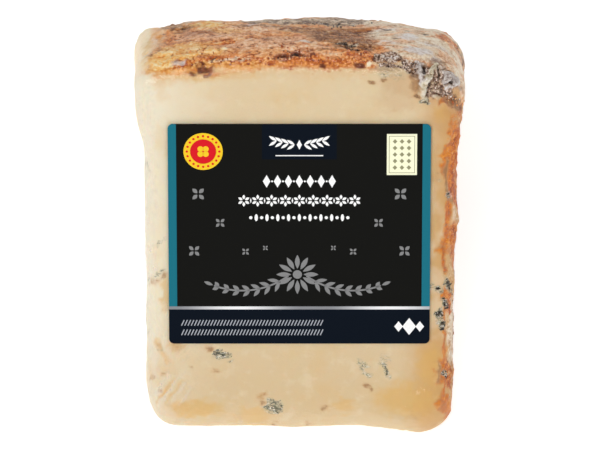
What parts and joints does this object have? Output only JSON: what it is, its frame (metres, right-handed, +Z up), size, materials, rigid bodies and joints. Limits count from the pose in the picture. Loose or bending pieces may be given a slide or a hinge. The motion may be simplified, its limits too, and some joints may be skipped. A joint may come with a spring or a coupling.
{
  "type": "stilton wedge",
  "caption": "Film-wrapped wedge of mature blue cheese with natural rind on its curved side and one end, and a plain printed label on its upper cut face.",
  "frame": {"origin": "middle of the bounding box's footprint, on the floor under the lower cut face", "axes": "+X along the drum's axis towards the end rind, +Y from the wedge's tip towards its curved rind, +Z up"},
  "size_m": [0.0846, 0.1088, 0.0817],
  "materials": {
    "cheese": "soft cream paste with blue veins, brown and grey natural rind, under tight clear film",
    "label": "satin black print with teal side bands, navy foot and silver ornament, no lettering"
  },
  "bodies": {
    "root": {"cheese_wedge": "cheese", "label": "label"}
  },
  "joints": []
}
